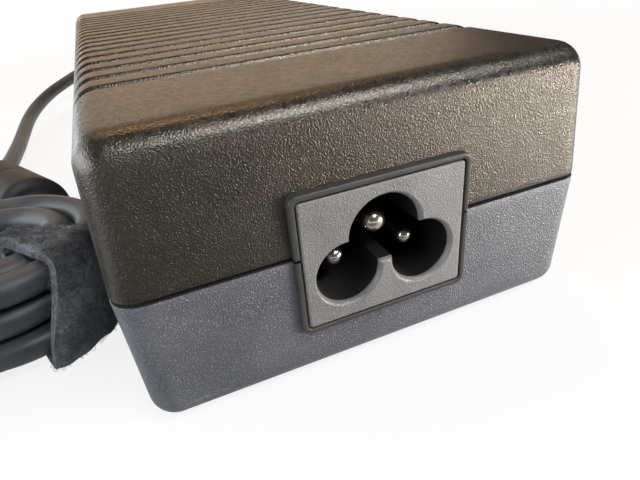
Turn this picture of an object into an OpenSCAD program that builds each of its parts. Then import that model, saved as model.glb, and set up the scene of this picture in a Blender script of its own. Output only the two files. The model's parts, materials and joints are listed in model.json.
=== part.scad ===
// Laptop power adapter: two-part housing with a cloverleaf mains inlet and an output lead
// with ferrite, tied hank and barrel plug. Millimetres, +Z up. The origin is the middle of
// the housing's footprint, on the surface it stands on. The inlet faces -Y.

/* [Housing] */
// width of the housing at the seam
body_w = 62; // [50:1:80]
// length of the housing at the seam
body_l = 148; // [110:1:170]
// height of the lower shell, which is the height of the seam
seam_z = 18.1; // [14:0.1:24]
// height of the upper shell above the seam
upper_h = 17.4; // [12:0.1:24]
// wall thickness of both shells
wall = 2.2; // [1.6:0.1:3]
// inward lean of the upper walls over their height
upper_draft = 1.1; // [0:0.1:3]
// inward lean of the lower walls over their height
lower_draft = 0.5; // [0:0.1:3]
// radius of the long and end edges
edge_r = 3.3; // [1:0.1:6]
// radius of the upright corners at the seam
corner_r = 3; // [1:0.1:8]

/* [Grooves] */
// number of grooves across the upper shell
groove_count = 17; // [3:1:24]
// spacing of the grooves
groove_pitch = 6.5; // [4:0.1:10]
// width of one groove
groove_w = 2.3; // [1:0.1:4]
// depth of one groove
groove_depth = 0.7; // [0.2:0.1:1.2]
// how far the grooves run down the side walls from the top
groove_drop = 9; // [4:0.5:12]

/* [Inlet] */
// width of the inlet face plate
plate_w = 21.3; // [20:0.1:26]
// height of the inlet face plate
plate_h = 16.7; // [15:0.1:20]
// height of the middle of the plate
plate_z = 16.8; // [12:0.1:20]
// how far the plate and its rim stand out from the seam line
boss_out = 0.6; // [0.2:0.1:1.5]
// width of the rim that the shells form round the plate
rim_w = 0.7; // [0.4:0.1:1.5]
// gap between plate and rim
plate_gap = 0.2; // [0.1:0.05:0.4]
// spacing of the line and neutral pins
pin_pitch = 10; // [8:0.1:12]
// height of the earth pin above the other two
earth_rise = 4.2; // [3:0.1:6]
// radius of the line and neutral lobes of the recess
lobe_r = 4.1; // [3.5:0.1:4.6]
// radius of the earth lobe
earth_lobe_r = 4.7; // [4:0.1:5.2]
// depth of the recess
recess_depth = 16; // [12:0.5:18]
// diameter of the line and neutral pins
pin_d = 2.3; // [2:0.1:3]
// diameter of the earth pin
earth_pin_d = 3; // [2.4:0.1:3.6]

/* [Output lead] */
// diameter of the cord
cord_d = 4.2; // [3.6:0.1:5]
// length of the tapered strain relief outside the housing
relief_l = 30; // [20:1:45]
// diameter of the moulded ferrite cover
ferrite_d = 14.5; // [12:0.5:18]
// length of the cylindrical part of the ferrite cover
ferrite_l = 22; // [16:1:30]
// length of the straight runs of the hank
hank_run = 84; // [70:1:84]
// spacing of the layers of the hank
hank_step = 4.65; // [4.6:0.05:6]
// radius of the outermost turn of the hank at the fold beside the housing
hank_r = 15.4; // [14:0.1:18]
// thickness of the strap
strap_t = 1.5; // [1:0.1:2]
// outer diameter of the plug barrel
barrel_d = 5.5; // [4:0.1:7.4]
// inner diameter of the plug barrel
barrel_bore_d = 2.5; // [1.6:0.1:5.1]
// length of the plug barrel
barrel_l = 10; // [9:0.5:12]

/* [Hidden] */

$fn = 32;
e = 0.01;
clearance = 0.2;
body_h = seam_z + upper_h;
// the rim of the inlet stands out, so the seam outline sits half that far back
front_y = -body_l / 2 + boss_out / 2;
back_y = front_y + body_l;
face_y = front_y - boss_out;
mid_y = (front_y + back_y) / 2;
groove_y0 = front_y + (body_l - (groove_count - 1) * groove_pitch) / 2;
// the reveal that shows as a dark line along the seam
reveal_h = 0.5;
reveal_deep = 0.6;
tongue_w = 0.7;
tongue_h = 1.4;
// recess and pins
ln_z = plate_z - 2.25;
earth_z = ln_z + earth_rise;
lobe_floor_z = ln_z + 0.35;
mouth = 0.4;
inlet_back = 18.2;
// the pins step in by this much, just clear of the recess floor
root_step = 0.2;
root_gap = 0.5;
// board and what stands on it
board_z = 6.2;
board_t = 1.6;
top_z = board_z + board_t;
board_w = body_w - 2 * wall - 6;
board_front = face_y + inlet_back + 1.6;
board_back = back_y - wall - 8;
shield_t = 0.4;
inside_top = body_h - wall;
// parts near the long edges of the board are placed from these edges
edge_x = board_w / 2;
pin_drop = 2.4;
peg_d = 4.6;
peg_pin_d = 2.6;
// cord pieces
cord_r = cord_d / 2;
relief_end_y = back_y + relief_l;
strap_gap = 0.3;
strap_lift = strap_t + strap_gap;
layer0_z = cord_r + 0.05;
hank_layers = 3;
layer_turns = 2;
// middles of the two folds
fold_x = -48;
hank_y = -40.8;
left_x = fold_x - hank_run;
left_grow = 4;
// the ferrite lies on the line that touches the first fold
axis_turn = 27;
touch_r = hank_r - 0.208 * hank_step;
axis_dir = [-sin(axis_turn), cos(axis_turn), 0];
touch_at = [fold_x + touch_r * cos(axis_turn), hank_y + touch_r * sin(axis_turn), 0];
ferrite_near = 16;
ferrite_cone = 5;
ferrite_z = ferrite_d / 2 - 0.05;
ferrite_far = ferrite_near + 2 * ferrite_cone + ferrite_l;
function along(d, z) = [touch_at[0] + axis_dir[0] * d, touch_at[1] + axis_dir[1] * d, z];
// plug
plug_z = 5.4;
plug_turn = -22;
plug_at = [left_x + 2.4, 24, plug_z];
plug_relief_l = 14;
plug_body_l = 24;
plug_body_d = 10.8;
// the barrel has a thicker root where the plug body grips it
barrel_step = 0.2;

lead_points = [[0, relief_end_y, seam_z], [0, relief_end_y + 5, seam_z],
    [-2, 117, 17.9], [-9, 127, 16.8], [-20, 131, 14.4], [-31, 127, 11.2], [-40, 119.5, 8.7],
    [-47.5, 109, 6.7], [-52.5, 96, 4.9], [-55, 83, 3.5], [-56, 68, 2.5], [-56.5, 53, 2.15],
    [-57.5, 38, 2.15], [-59.6, 28, 3], [-61.6, 19.5, 5.2],
    along(ferrite_far + 5, ferrite_z), along(ferrite_far, ferrite_z)];
// the hank ends inside its top layer, so the tail climbs over the turns
last_turn_r = hank_r - 1.771 * hank_step + left_grow;
top_layer_z = layer0_z + (hank_layers - 1) * hank_step;
tail_points = [[left_x - last_turn_r + 0.5, hank_y + 4.2, top_layer_z + 2],
    [left_x - last_turn_r + 0.9, hank_y + 6.3, top_layer_z + 3.4],
    [left_x - last_turn_r + 1.1, hank_y + 8.6, top_layer_z + 4.6],
    [left_x - 10.1, hank_y + 13.5, top_layer_z + 5], [left_x - 10.1, hank_y + 21.5, 12.8],
    [left_x - 9.4, hank_y + 30.5, 6.9], [left_x - 7.6, hank_y + 39.6, 3],
    [left_x - 4.6, 6.4, 3], [left_x - 2.2, 12.5, 4.8], [left_x - 0.4, 17.05, plug_z], plug_at];

function unit(v) = v / norm(v);
function blend(t) = let (c = max(0, min(1, t))) c * c * (3 - 2 * c);
function ring(c, t, r, n, turn) =
    let (u = unit(cross(t, [0, 0, 1])), v = cross(u, t))
    [for (i = [0:n - 1]) let (a = 360 * i / n + turn) c + r * cos(a) * u + r * sin(a) * v];
function heading(p, i) = unit(p[min(i + 1, len(p) - 1)] - p[max(i - 1, 0)]);
function spline(p0, p1, p2, p3, t) = 0.5 * (2 * p1 + (p2 - p0) * t
    + (2 * p0 - 5 * p1 + 4 * p2 - p3) * t * t + (3 * p1 - p0 - 3 * p2 + p3) * t * t * t);
function smooth_path(p, steps) = concat(
    [for (i = [0:len(p) - 2]) for (k = [0:steps - 1])
        spline(p[max(i - 1, 0)], p[i], p[i + 1], p[min(i + 2, len(p) - 1)], k / steps)],
    [p[len(p) - 1]]);
function path_length(p) = len(p) < 2 ? 0
    : [for (i = 1, s = norm(p[1] - p[0]); i < len(p); i = i + 1,
        s = s + (i < len(p) ? norm(p[i] - p[i - 1]) : 0)) s][len(p) - 2];

// the cords are lifted where they lie in the strap
function lift(x) = strap_lift * blend((x - fold_x + 34) / 26);
// rings of one turn: half the left fold, the far run, the right fold, the near run, the rest
quarter_rings = 4;
run_rings = 3;
fold_rings = 10;
turn_rings = 2 * quarter_rings + 2 * run_rings + fold_rings;
far_k = quarter_rings + run_rings;
near_k = far_k + fold_rings;
last_k = near_k + run_rings;
// the spiral turns round in the middle of the far run
turn_start = (quarter_rings + run_rings / 2) / turn_rings;
function layer_of(s) = max(0, min(hank_layers - 1, floor((s - turn_start) / layer_turns)));
function spiral_r(s) = let (layer = layer_of(s), t = s - turn_start - layer_turns * layer)
    layer % 2 == 0 ? hank_r - hank_step * t : hank_r + hank_step * (t - layer_turns);
function climbed(s) = [for (m = 1, z = 0; m <= hank_layers; m = m + 1,
    z = z + blend((s - turn_start - layer_turns * (m - 1)) * turn_rings / run_rings + 0.5)) z][hank_layers - 1];
function turn_point(k, r) =
    k < quarter_rings ? let (a = 180 - 90 * k / quarter_rings)
        [left_x + (r + left_grow) * cos(a), hank_y + (r + left_grow) * sin(a)]
    : k < far_k ? let (t = (k - quarter_rings) / run_rings)
        [left_x + hank_run * t, hank_y + r + left_grow * (1 - t)]
    : k < near_k ? let (a = 90 - 180 * (k - far_k) / fold_rings)
        [fold_x + r * cos(a), hank_y + r * sin(a)]
    : k < last_k ? let (t = (k - near_k) / run_rings)
        [fold_x - hank_run * t, hank_y - r - left_grow * t]
    : let (a = 270 - 90 * (k - last_k) / quarter_rings)
        [left_x + (r + left_grow) * cos(a), hank_y + (r + left_grow) * sin(a)];
function hank_point(j) =
    let (s = j / turn_rings, q = turn_point(j % turn_rings, spiral_r(s)))
    [q[0], q[1], layer0_z + climbed(s) * hank_step + lift(q[0])];
first_ring = far_k + 4;
last_ring = hank_layers * layer_turns * turn_rings;
hank_line = concat(
    [along(ferrite_near, ferrite_z), along(ferrite_near - 4.2, ferrite_z),
        along(7, layer0_z + strap_lift + 1), along(2.6, layer0_z + strap_lift)],
    [for (j = [first_ring:last_ring]) hank_point(j)],
    [tail_points[0]]);
lead_line = smooth_path(lead_points, 2);
tail_line = smooth_path(tail_points, 1);
// least gap between stretches of the hank that are not neighbours along the cord
hank_gap = min([for (i = [0:len(hank_line) - 10]) for (j = [i + 9:len(hank_line) - 2])
    norm(hank_line[i] - hank_line[j])]) - cord_d;
echo(least_gap_in_hank = hank_gap, hank_length = path_length(hank_line),
    lead_length = path_length(smooth_path(lead_points, 8)),
    tail_length = path_length(smooth_path(tail_points, 8)));

module tube(points, r, sides, turn) {
    rings = len(points);
    last = rings - 1;
    verts = [for (i = [0:last]) each ring(points[i], heading(points, i), r, sides, turn)];
    sidewalls = [for (i = [0:last - 1]) for (k = [0:sides - 1])
        let (a = i * sides + k, b = i * sides + (k + 1) % sides) [a, b, b + sides, a + sides]];
    polyhedron(points = verts, convexity = 8,
        faces = concat(sidewalls, [[for (k = [sides - 1:-1:0]) k]],
            [[for (k = [0:sides - 1]) last * sides + k]]));
}

// corner points of a rectangle with rounded corners
function rounded(w, h, r, n) = [for (c = [[1, 1, 0], [-1, 1, 90], [-1, -1, 180], [1, -1, 270]])
    for (i = [0:n]) let (a = c[2] + 90 * i / n)
        [c[0] * (w / 2 - r) + r * cos(a), c[1] * (h / 2 - r) + r * sin(a)]];

module outline(w, l, r) {
    translate([0, mid_y])
        polygon(rounded(w, l, r, 6));
}

// a block with round upright corners, plain at the seam and round at the other end
module shell_form(inset, z_end, draft, rise) {
    r = edge_r - inset > 0.6 ? edge_r - inset : 0.6;
    // a sphere of flat facets ends a little short of its radius
    pole_gap = r * (1 - cos(180 / $fn));
    rs = corner_r - inset > 0.6 ? corner_r - inset : 0.6;
    hull() {
        translate([0, 0, rise > 0 ? seam_z : seam_z - e])
            linear_extrude(e)
                outline(body_w - 2 * inset, body_l - 2 * inset, rs);
        for (x = [-1, 1], y = [-1, 1])
            translate([x * (body_w / 2 - draft - inset - r), mid_y + y * (body_l / 2 - draft - inset - r),
                z_end - rise * (r + inset - pole_gap)])
                sphere(r = r);
    }
}

module upper_form(inset) {
    shell_form(inset, body_h, upper_draft, 1);
}

module lower_form(inset) {
    shell_form(inset, 0, lower_draft, -1);
}

// plain hollow, a little drafted
module hollow(z0, z1, draft, low) {
    w = body_w - 2 * wall;
    l = body_l - 2 * wall;
    hull() {
        translate([0, mid_y, (low ? z1 : z0) - (low ? e : 0)])
            linear_extrude(e)
                square([w, l], center = true);
        translate([0, mid_y, (low ? z0 : z1) - (low ? 0 : e)])
            linear_extrude(e)
                square([w - 2 * draft - 1.2, l - 2 * draft - 1.2], center = true);
    }
}

module plate_shape(grow, r) {
    translate([0, plate_z])
        polygon(rounded(plate_w + 2 * grow, plate_h + 2 * grow, r, 4));
}

module standing(y0, depth) {
    translate([0, y0 + depth, 0])
        rotate([90, 0, 0])
            linear_extrude(depth)
                children();
}

module groove_cuts() {
    for (i = [0:groove_count - 1])
        translate([-body_w / 2 - 1, groove_y0 + i * groove_pitch - groove_w / 2, body_h - groove_drop])
            cube([body_w + 2, groove_w, groove_drop + 1]);
}

module seam_reveal() {
    translate([0, 0, seam_z - e])
        linear_extrude(reveal_h + e)
            difference() {
                translate([0, mid_y])
                    square([body_w + 4, body_l + 4], center = true);
                outline(body_w - 2 * reveal_deep, body_l - 2 * reveal_deep, corner_r - reveal_deep);
            }
}

module tongue(w, h) {
    // a rib that stands on the inner half of the lower wall
    translate([0, 0, seam_z - e])
        linear_extrude(h + e)
            difference() {
                outline(body_w - 2 * (wall - w), body_l - 2 * (wall - w), corner_r - wall + w + 0.2);
                translate([0, mid_y])
                    square([body_w - 2 * wall, body_l - 2 * wall], center = true);
            }
}

module gland_hole() {
    translate([0, back_y - wall - 1, seam_z])
        rotate([-90, 0, 0])
            cylinder(d = 8.4, h = wall + 2);
}

module upper_shell() {
    color("#2c2a27")
        difference() {
            union() {
                difference() {
                    upper_form(0);
                    intersection() {
                        difference() {
                            translate([0, mid_y, body_h - groove_drop / 2])
                                cube([body_w + 4, body_l + 4, groove_drop + 2], center = true);
                            upper_form(groove_depth);
                        }
                        groove_cuts();
                    }
                    seam_reveal();
                }
                intersection() {
                    standing(face_y, 2.4)
                        plate_shape(plate_gap + rim_w, 1.1);
                    translate([-30, face_y - 1, seam_z])
                        cube([60, 8, 20]);
                }
            }
            hollow(seam_z - 1, inside_top, upper_draft, false);
            tongue(tongue_w + clearance, tongue_h + clearance);
            standing(face_y - 1, 8)
                plate_shape(plate_gap, 0.5);
            gland_hole();
        }
}

module lower_shell() {
    color("#2b2c2f")
        difference() {
            union() {
                lower_form(0);
                tongue(tongue_w, tongue_h);
                intersection() {
                    standing(face_y, 2.4)
                        plate_shape(plate_gap + rim_w, 1.1);
                    translate([-30, face_y - 1, seam_z - 20])
                        cube([60, 8, 20]);
                }
            }
            hollow(wall, seam_z + 0.001, lower_draft, true);
            standing(face_y - 1, 8)
                plate_shape(plate_gap, 0.5);
            gland_hole();
        }
    color("#2b2c2f")
        at_pegs() {
            translate([0, 0, wall - 0.5])
                cylinder(d = peg_d, h = board_z - wall + 0.5);
            translate([0, 0, wall])
                cylinder(d = peg_pin_d, h = top_z - 0.3 - wall);
        }
}

// places of the four pegs that hold the board
module at_pegs() {
    for (x = [-1, 1], y = [board_front + 3.2, board_back - 4])
        translate([x * (board_w / 2 - 3.4), y, 0])
            children();
}

module clover(extra) {
    for (x = [-1, 1])
        translate([x * pin_pitch / 2, ln_z])
            circle(r = lobe_r + extra, $fn = 48);
    intersection() {
        translate([0, earth_z])
            circle(r = earth_lobe_r + extra, $fn = 48);
        translate([-10, lobe_floor_z - extra])
            square([20, 20]);
    }
}

module inlet_body() {
    color("#7d7a75")
        difference() {
            union() {
                standing(face_y, 3)
                    plate_shape(0, 0.4);
                // the housing of the inlet, behind the plate
                translate([-(plate_w - 1.6) / 2, face_y + 3 - e, plate_z - plate_h / 2 + 0.8])
                    cube([plate_w - 1.6, inlet_back - 3, plate_h - 1.6]);
                // side latches that hold the block behind the shell walls
                for (x = [-1, 1])
                    translate([x * (plate_w / 2 - 0.2) - 0.7, face_y + 3.2, plate_z - 4])
                        cube([1.4, 4, 8]);
            }
            standing(face_y - 1, recess_depth + 1)
                clover(0);
            standing(face_y - 1, 1 + mouth)
                clover(mouth);
            for (x = [-1, 1])
                translate([x * pin_pitch / 2, 0, ln_z])
                    rotate([-90, 0, 0])
                        translate([0, 0, face_y + recess_depth - 1])
                            cylinder(d = pin_d - 2 * root_step, h = 6);
            translate([0, face_y + recess_depth - 1, earth_z])
                rotate([-90, 0, 0])
                    cylinder(d = earth_pin_d - 2 * root_step, h = 6);
        }
}

// a round pin with a domed tip, a thinner root in the block, and a solder tail behind it
module inlet_pin(x, z, d, tip_y) {
    tail_y = face_y + inlet_back + 2.2;
    root_y = face_y + recess_depth - root_gap;
    translate([x, 0, z])
        rotate([-90, 0, 0])
            rotate_extrude($fn = 32)
                union() {
                    translate([0, tip_y + d / 2])
                        square([d / 2, root_y - tip_y - d / 2]);
                    translate([0, root_y - e])
                        square([d / 2 - root_step, tail_y - root_y + e]);
                    intersection() {
                        translate([0, tip_y + d / 2])
                            circle(d = d);
                        translate([0, tip_y])
                            square([d / 2, d / 2]);
                    }
                }
}

module line_pin() {
    color("#c9c6bd")
        inlet_pin(-pin_pitch / 2, ln_z, pin_d, face_y + 3.6);
}

module neutral_pin() {
    color("#c9c6bd")
        inlet_pin(pin_pitch / 2, ln_z, pin_d, face_y + 3.6);
}

module earth_pin() {
    color("#c9c6bd")
        inlet_pin(0, earth_z, earth_pin_d, face_y + 2.1);
}

// a short insulated wire from an inlet pin down to the board
module inlet_wire(x, z, d, x_end) {
    y0 = face_y + inlet_back + 2.2;
    pts = [[x, y0, z], [x, y0 + 2.5, z], [x_end, y0 + 5.5, z - 2], [x_end, y0 + 6.5, top_z + 3],
        [x_end, y0 + 6.6, top_z + 0.05]];
    tube_upright(smooth_path(pts, 3), d / 2, 8);
}

module tube_upright(points, r, sides) {
    last = len(points) - 1;
    function side_ring(i) = let (t = heading(points, i), u = unit(cross(t, [1, 0, 0])), v = cross(u, t))
        [for (k = [0:sides - 1]) let (a = 360 * k / sides) points[i] + r * cos(a) * u + r * sin(a) * v];
    polyhedron(points = [for (i = [0:last]) each side_ring(i)], convexity = 6,
        faces = concat([for (i = [0:last - 1]) for (k = [0:sides - 1])
            let (a = i * sides + k, b = i * sides + (k + 1) % sides) [a, b, b + sides, a + sides]],
            [[for (k = [sides - 1:-1:0]) k]], [[for (k = [0:sides - 1]) last * sides + k]]));
}

module line_wire() {
    color("#5b3a22")
        inlet_wire(-pin_pitch / 2, ln_z, 1.9, -8);
}

module neutral_wire() {
    color("#2d4f8a")
        inlet_wire(pin_pitch / 2, ln_z, 1.9, 8);
}

module earth_wire() {
    color("#5c8a2e")
        inlet_wire(0, earth_z, 1.9, 0);
}

module insulating_sheet() {
    // a folded sheet between the shields and the board
    w = body_w - 2 * wall - 4.6;
    color("#d9d2b8")
        difference() {
            translate([-w / 2, board_front, wall + shield_t + 0.35])
                cube([w, board_back - board_front, inside_top - wall - 2 * shield_t - 1.3]);
            translate([-w / 2 + 0.4, board_front - 1, wall + shield_t + 0.75])
                cube([w - 0.8, board_back - board_front + 2, 60]);
            at_pegs()
                cylinder(d = peg_d + 2 * clearance, h = 8);
        }
}

module lower_shield() {
    w = body_w - 2 * wall - 3.4;
    color("#b8b9bb")
        difference() {
            translate([-w / 2, board_front + 2, wall])
                cube([w, board_back - board_front - 4, 14]);
            translate([-w / 2 + shield_t, board_front, wall + shield_t])
                cube([w - 2 * shield_t, board_back - board_front + 4, 30]);
            at_pegs()
                cylinder(d = peg_d + 2 * clearance, h = 8);
        }
}

module upper_shield() {
    w = body_w - 2 * wall - 4.4;
    color("#b8b9bb")
        translate([-w / 2, board_front + 2, inside_top - shield_t])
            cube([w, board_back - board_front - 4, shield_t]);
}

module main_board() {
    color("#3f6b3a")
        difference() {
            translate([-board_w / 2, board_front, board_z])
                cube([board_w, board_back - board_front, board_t]);
            at_pegs()
                translate([0, 0, board_z - 1])
                    cylinder(d = peg_pin_d + 2 * clearance, h = board_t + 2);
        }
}

// two legs that pass through to the underside of the board
module legs(gap, d) {
    for (x = [-1, 1])
        translate([x * gap / 2, 0, board_z - pin_drop + 1])
            cylinder(d = d, h = board_t + pin_drop, $fn = 16);
}

module fuse() {
    color("#8c5a3a")
        translate([-edge_x + 5.8, board_front + 7, 0]) {
            translate([0, 0, top_z])
                cylinder(d = 8.4, h = 8);
            legs(5, 0.8);
        }
}

module varistor() {
    color("#2f5fa0")
        translate([-9.5, board_front + 13, 0]) {
            translate([0, 2, top_z + 6.5])
                rotate([90, 0, 0])
                    cylinder(d = 12, h = 4);
            legs(7, 0.8);
        }
}

module inrush_thermistor() {
    color("#3c4a3a")
        translate([edge_x - 7.8, board_front + 6, 0]) {
            translate([0, 2, top_z + 6])
                rotate([90, 0, 0])
                    cylinder(d = 11, h = 4);
            legs(5, 0.8);
        }
}

x_cap_l = edge_x - 1.8;

module x_capacitor() {
    color("#c9a227")
        translate([x_cap_l / 2, board_front + 17, 0]) {
            translate([-x_cap_l / 2, -5, top_z])
                cube([x_cap_l, 10, 15]);
            legs(15, 0.8);
        }
}

choke_at = [-edge_x + 9.8, board_front + 27, top_z + 8.05];

module choke_core() {
    color("#4b6b4a")
        translate(choke_at)
            rotate([90, 0, 0])
                difference() {
                    cylinder(d = 16, h = 7, center = true, $fn = 48);
                    cylinder(d = 8, h = 9, center = true, $fn = 48);
                }
}

module choke_winding() {
    // two windings, one on each side of the ring
    color("#a5572a")
        translate(choke_at)
            rotate([90, 0, 0])
                for (side = [0, 180])
                    rotate([0, 0, side - 55])
                        rotate_extrude(angle = 110, $fn = 48)
                            translate([6, 0])
                                difference() {
                                    square([6.4, 9.4], center = true);
                                    square([4.2, 7.2], center = true);
                                }
}

module y_capacitors() {
    color("#2a66b0")
        for (p = [[edge_x - 5.8, board_front + 27], [edge_x - 5.8, board_front + 33]])
            translate([p[0], p[1], 0]) {
                translate([0, 1.5, top_z + 4.4])
                    rotate([90, 0, 0])
                        cylinder(d = 8, h = 3);
                legs(5, 0.6);
            }
}

module bridge_rectifier() {
    color("#26272a")
        translate([2.4, board_front + 32, 0]) {
            translate([-1.9, -8, top_z + 2])
                cube([3.8, 16, 14]);
            for (y = [-6, -2, 2, 6])
                translate([-0.4, y - 0.5, board_z - 1])
                    cube([0.8, 1, 6]);
        }
}

heatsink_y = board_front + 41;
sink_flange = 8;
rear_sink_y = board_back - 19.2;
trafo_y = rear_sink_y - 14.4;
bobbin_l = 23;
rectifier_x = -7.5;
// free stretch of board between the front heatsink and the transformer
mid_front = heatsink_y + sink_flange;
mid_l = trafo_y - bobbin_l / 2 - mid_front;
inductor_w = 0.45 * mid_l;

module primary_heatsink() {
    color("#a9abad")
        difference() {
            union() {
                translate([-edge_x + 0.8, heatsink_y, top_z])
                    cube([board_w - 1.6, 2, 22]);
                translate([-edge_x + 0.8, heatsink_y, top_z + 20])
                    cube([board_w - 1.6, sink_flange, 2]);
                for (x = [-edge_x + 5.8, edge_x - 5.8])
                    translate([x - 1.2, heatsink_y + 0.4, board_z - 1])
                        cube([2.4, 1.2, 3]);
            }
            for (x = [-12, 12])
                translate([x, heatsink_y - 1, top_z + 13])
                    rotate([-90, 0, 0])
                        cylinder(d = 3, h = 4);
        }
}

// a flat power package with three legs and a tab with a hole
module power_package(x, y, side) {
    translate([x, y, 0]) {
        difference() {
            translate([-5, side > 0 ? 0 : -4.4, top_z + 2])
                cube([10, 4.4, 15]);
            translate([0, -6, top_z + 13])
                rotate([-90, 0, 0])
                    cylinder(d = 3, h = 12);
        }
        for (k = [-1, 0, 1])
            translate([k * 2.5 - 0.4, side > 0 ? 1.8 : -2.6, board_z - 1])
                cube([0.8, 0.8, 5]);
    }
}

module boost_transistor() {
    color("#1f2022")
        power_package(-12, heatsink_y, -1);
}

module switch_transistor() {
    color("#1f2022")
        power_package(12, heatsink_y, -1);
}

module heatsink_screws() {
    color("#c4c4c0") {
        for (x = [-12, 12])
            translate([x, heatsink_y + 4.2, top_z + 13])
                rotate([90, 0, 0]) {
                    cylinder(d = 2.7, h = 8.6);
                    cylinder(d = 5.2, h = 2.2);
                }
        translate([rectifier_x, rear_sink_y - 2.2, top_z + 13])
            rotate([-90, 0, 0]) {
                cylinder(d = 2.7, h = 8.6);
                cylinder(d = 5.2, h = 2.2);
            }
    }
}

module boost_inductor() {
    color("#b5652c")
        translate([-edge_x + 11.8, mid_front + 1.4 + inductor_w / 2, 0]) {
            translate([-9, -inductor_w / 2, top_z])
                cube([18, inductor_w, 17]);
            legs(12, 0.9);
        }
}

module bulk_capacitor() {
    color("#1c2b4a")
        translate([edge_x - 12.8, mid_front - 3, top_z + 9.1])
            rotate([-90, 0, 0])
                cylinder(d = 18, h = mid_l + 0.5, $fn = 48);
}

module controller_chips() {
    color("#232427")
        for (p = [[-16, trafo_y - 18], [4, heatsink_y - 24]])
            translate([p[0] - 2, p[1] - 2.5, board_z - 1.6])
                cube([4, 5, 1.6]);
}

module transformer_core() {
    // two E halves that close round the bobbin
    color("#3a3a3d")
        translate([-5, trafo_y, top_z + 2])
            difference() {
                translate([-13, -6.5, 0])
                    cube([26, 13, 21]);
                translate([-9.6, -8, 4])
                    cube([19.2, 16, 13]);
            }
}

module transformer_bobbin() {
    color("#1d1d1f")
        translate([-5, trafo_y, top_z]) {
            difference() {
                union() {
                    translate([-9.4, -9.5, 0])
                        cube([18.8, 19, 1.8]);
                    for (z = [6.2, 17.4])
                        translate([-9.3, -bobbin_l / 2, z])
                            cube([18.6, bobbin_l, 1.3]);
                    translate([-4.6, -4.6, 6.2])
                        cube([9.2, 9.2, 12.5]);
                }
                translate([-2.9, -2.9, 5])
                    cube([5.8, 5.8, 16]);
            }
            for (y = [-8.6, 8.6], x = [-7, -2.4, 2.4, 7])
                translate([x - 0.4, y - 0.4, board_z - top_z - 1])
                    cube([0.8, 0.8, 3]);
        }
}

module transformer_winding() {
    color("#d8b13a")
        translate([-5, trafo_y, top_z + 7.7])
            difference() {
                translate([-8.6, -10.8, 0])
                    cube([17.2, 21.6, 9.5]);
                translate([-4.7, -4.7, -1])
                    cube([9.4, 9.4, 12]);
            }
}

module optocoupler() {
    color("#28292b")
        translate([edge_x - 7.8, trafo_y - 6, 0]) {
            translate([-3.2, -2.4, top_z + 0.6])
                cube([6.4, 4.8, 3.4]);
            legs(7.6, 0.6);
        }
}

module secondary_heatsink() {
    color("#a9abad")
        difference() {
            union() {
                translate([-edge_x + 1.8, rear_sink_y, top_z])
                    cube([board_w - 17.6, 2, 22]);
                for (x = [-edge_x + 5.8, edge_x - 19.8])
                    translate([x - 1.2, rear_sink_y + 0.4, board_z - 1])
                        cube([2.4, 1.2, 3]);
            }
            translate([rectifier_x, rear_sink_y - 1, top_z + 13])
                rotate([-90, 0, 0])
                    cylinder(d = 3, h = 4);
        }
}

module output_rectifier() {
    color("#1f2022")
        power_package(rectifier_x, rear_sink_y + 6.4, -1);
}

module output_capacitors() {
    color("#243a2c")
        for (p = [[edge_x - 7.8, trafo_y + 5.4], [edge_x - 8.2, trafo_y + 16.6],
            [-edge_x + 5.8, rear_sink_y + 9.6]])
            translate([p[0], p[1], 0]) {
                translate([0, 0, top_z])
                    cylinder(d = 10, h = 20);
                legs(5, 0.6);
            }
}

module output_inductor() {
    color("#8a5a30")
        translate([edge_x - 20.3, rear_sink_y + 7.6, 0]) {
            translate([0, 0, top_z])
                cylinder(d = 8, h = 11);
            legs(4, 0.9);
        }
}

module output_wires() {
    // positive and return conductors from the board into the strain relief
    color("#8e1f1f")
        for (x = [-1, 1])
            tube([[x * 1.1, back_y - wall - 3.2, seam_z], [x * 1.2, back_y - wall - 5.5, seam_z],
                [x * 2, back_y - wall - 8, seam_z - 3], [x * 3, back_y - wall - 11, top_z + 3.6],
                [x * 3.2, back_y - wall - 13.5, top_z + 1.1]], 0.9, 8, 22.5);
}

module cord_relief() {
    // collar held by the shells, then a tapered sleeve with flex grooves
    color("#222224")
        translate([0, 0, seam_z])
            rotate([-90, 0, 0])
                difference() {
                    union() {
                        translate([-6, -5, back_y - wall - 3.2])
                            cube([12, 10, 2.8]);
                        translate([0, 0, back_y - wall - 1])
                            cylinder(d = 8, h = wall + 2);
                        translate([0, 0, back_y + 0.3])
                            cylinder(d1 = 9.6, d2 = 6, h = relief_l - 0.3);
                    }
                    for (k = [0:5])
                        translate([0, 0, back_y + 6 + 4 * k])
                            difference() {
                                cylinder(d = 14, h = 1.6);
                                cylinder(d = 6.6 - 0.25 * k, h = 1.6);
                            }
                }
}

module dc_lead() {
    color("#1f1f21")
        tube(lead_line, cord_r, 10, 18);
}

// tapered ends of the ferrite cover, along the cord's line
module on_line(d, z) {
    translate(along(d, z))
        rotate([0, 0, axis_turn])
            rotate([-90, 0, 0])
                children();
}

module ferrite_cover() {
    color("#242426")
        on_line(ferrite_near, ferrite_z)
            difference() {
                union() {
                    cylinder(d1 = 6.4, d2 = 9, h = ferrite_cone);
                    translate([0, 0, ferrite_cone])
                        cylinder(d = ferrite_d, h = ferrite_l, $fn = 48);
                    translate([0, 0, ferrite_cone + ferrite_l])
                        cylinder(d1 = 9, d2 = 6.4, h = ferrite_cone);
                }
                translate([0, 0, ferrite_cone + 1.5])
                    cylinder(d = ferrite_d - 3, h = ferrite_l - 3, $fn = 48);
                translate([-10, ferrite_z, -1])
                    cube([20, 5, 60]);
            }
}

module ferrite_core() {
    color("#4a4a4c")
        on_line(ferrite_near, ferrite_z)
            translate([0, 0, ferrite_cone + 1.6])
                difference() {
                    cylinder(d = ferrite_d - 3.2, h = ferrite_l - 3.2, $fn = 48);
                    translate([0, 0, -1])
                        cylinder(d = cord_d + 0.6, h = ferrite_l);
                }
}

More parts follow.
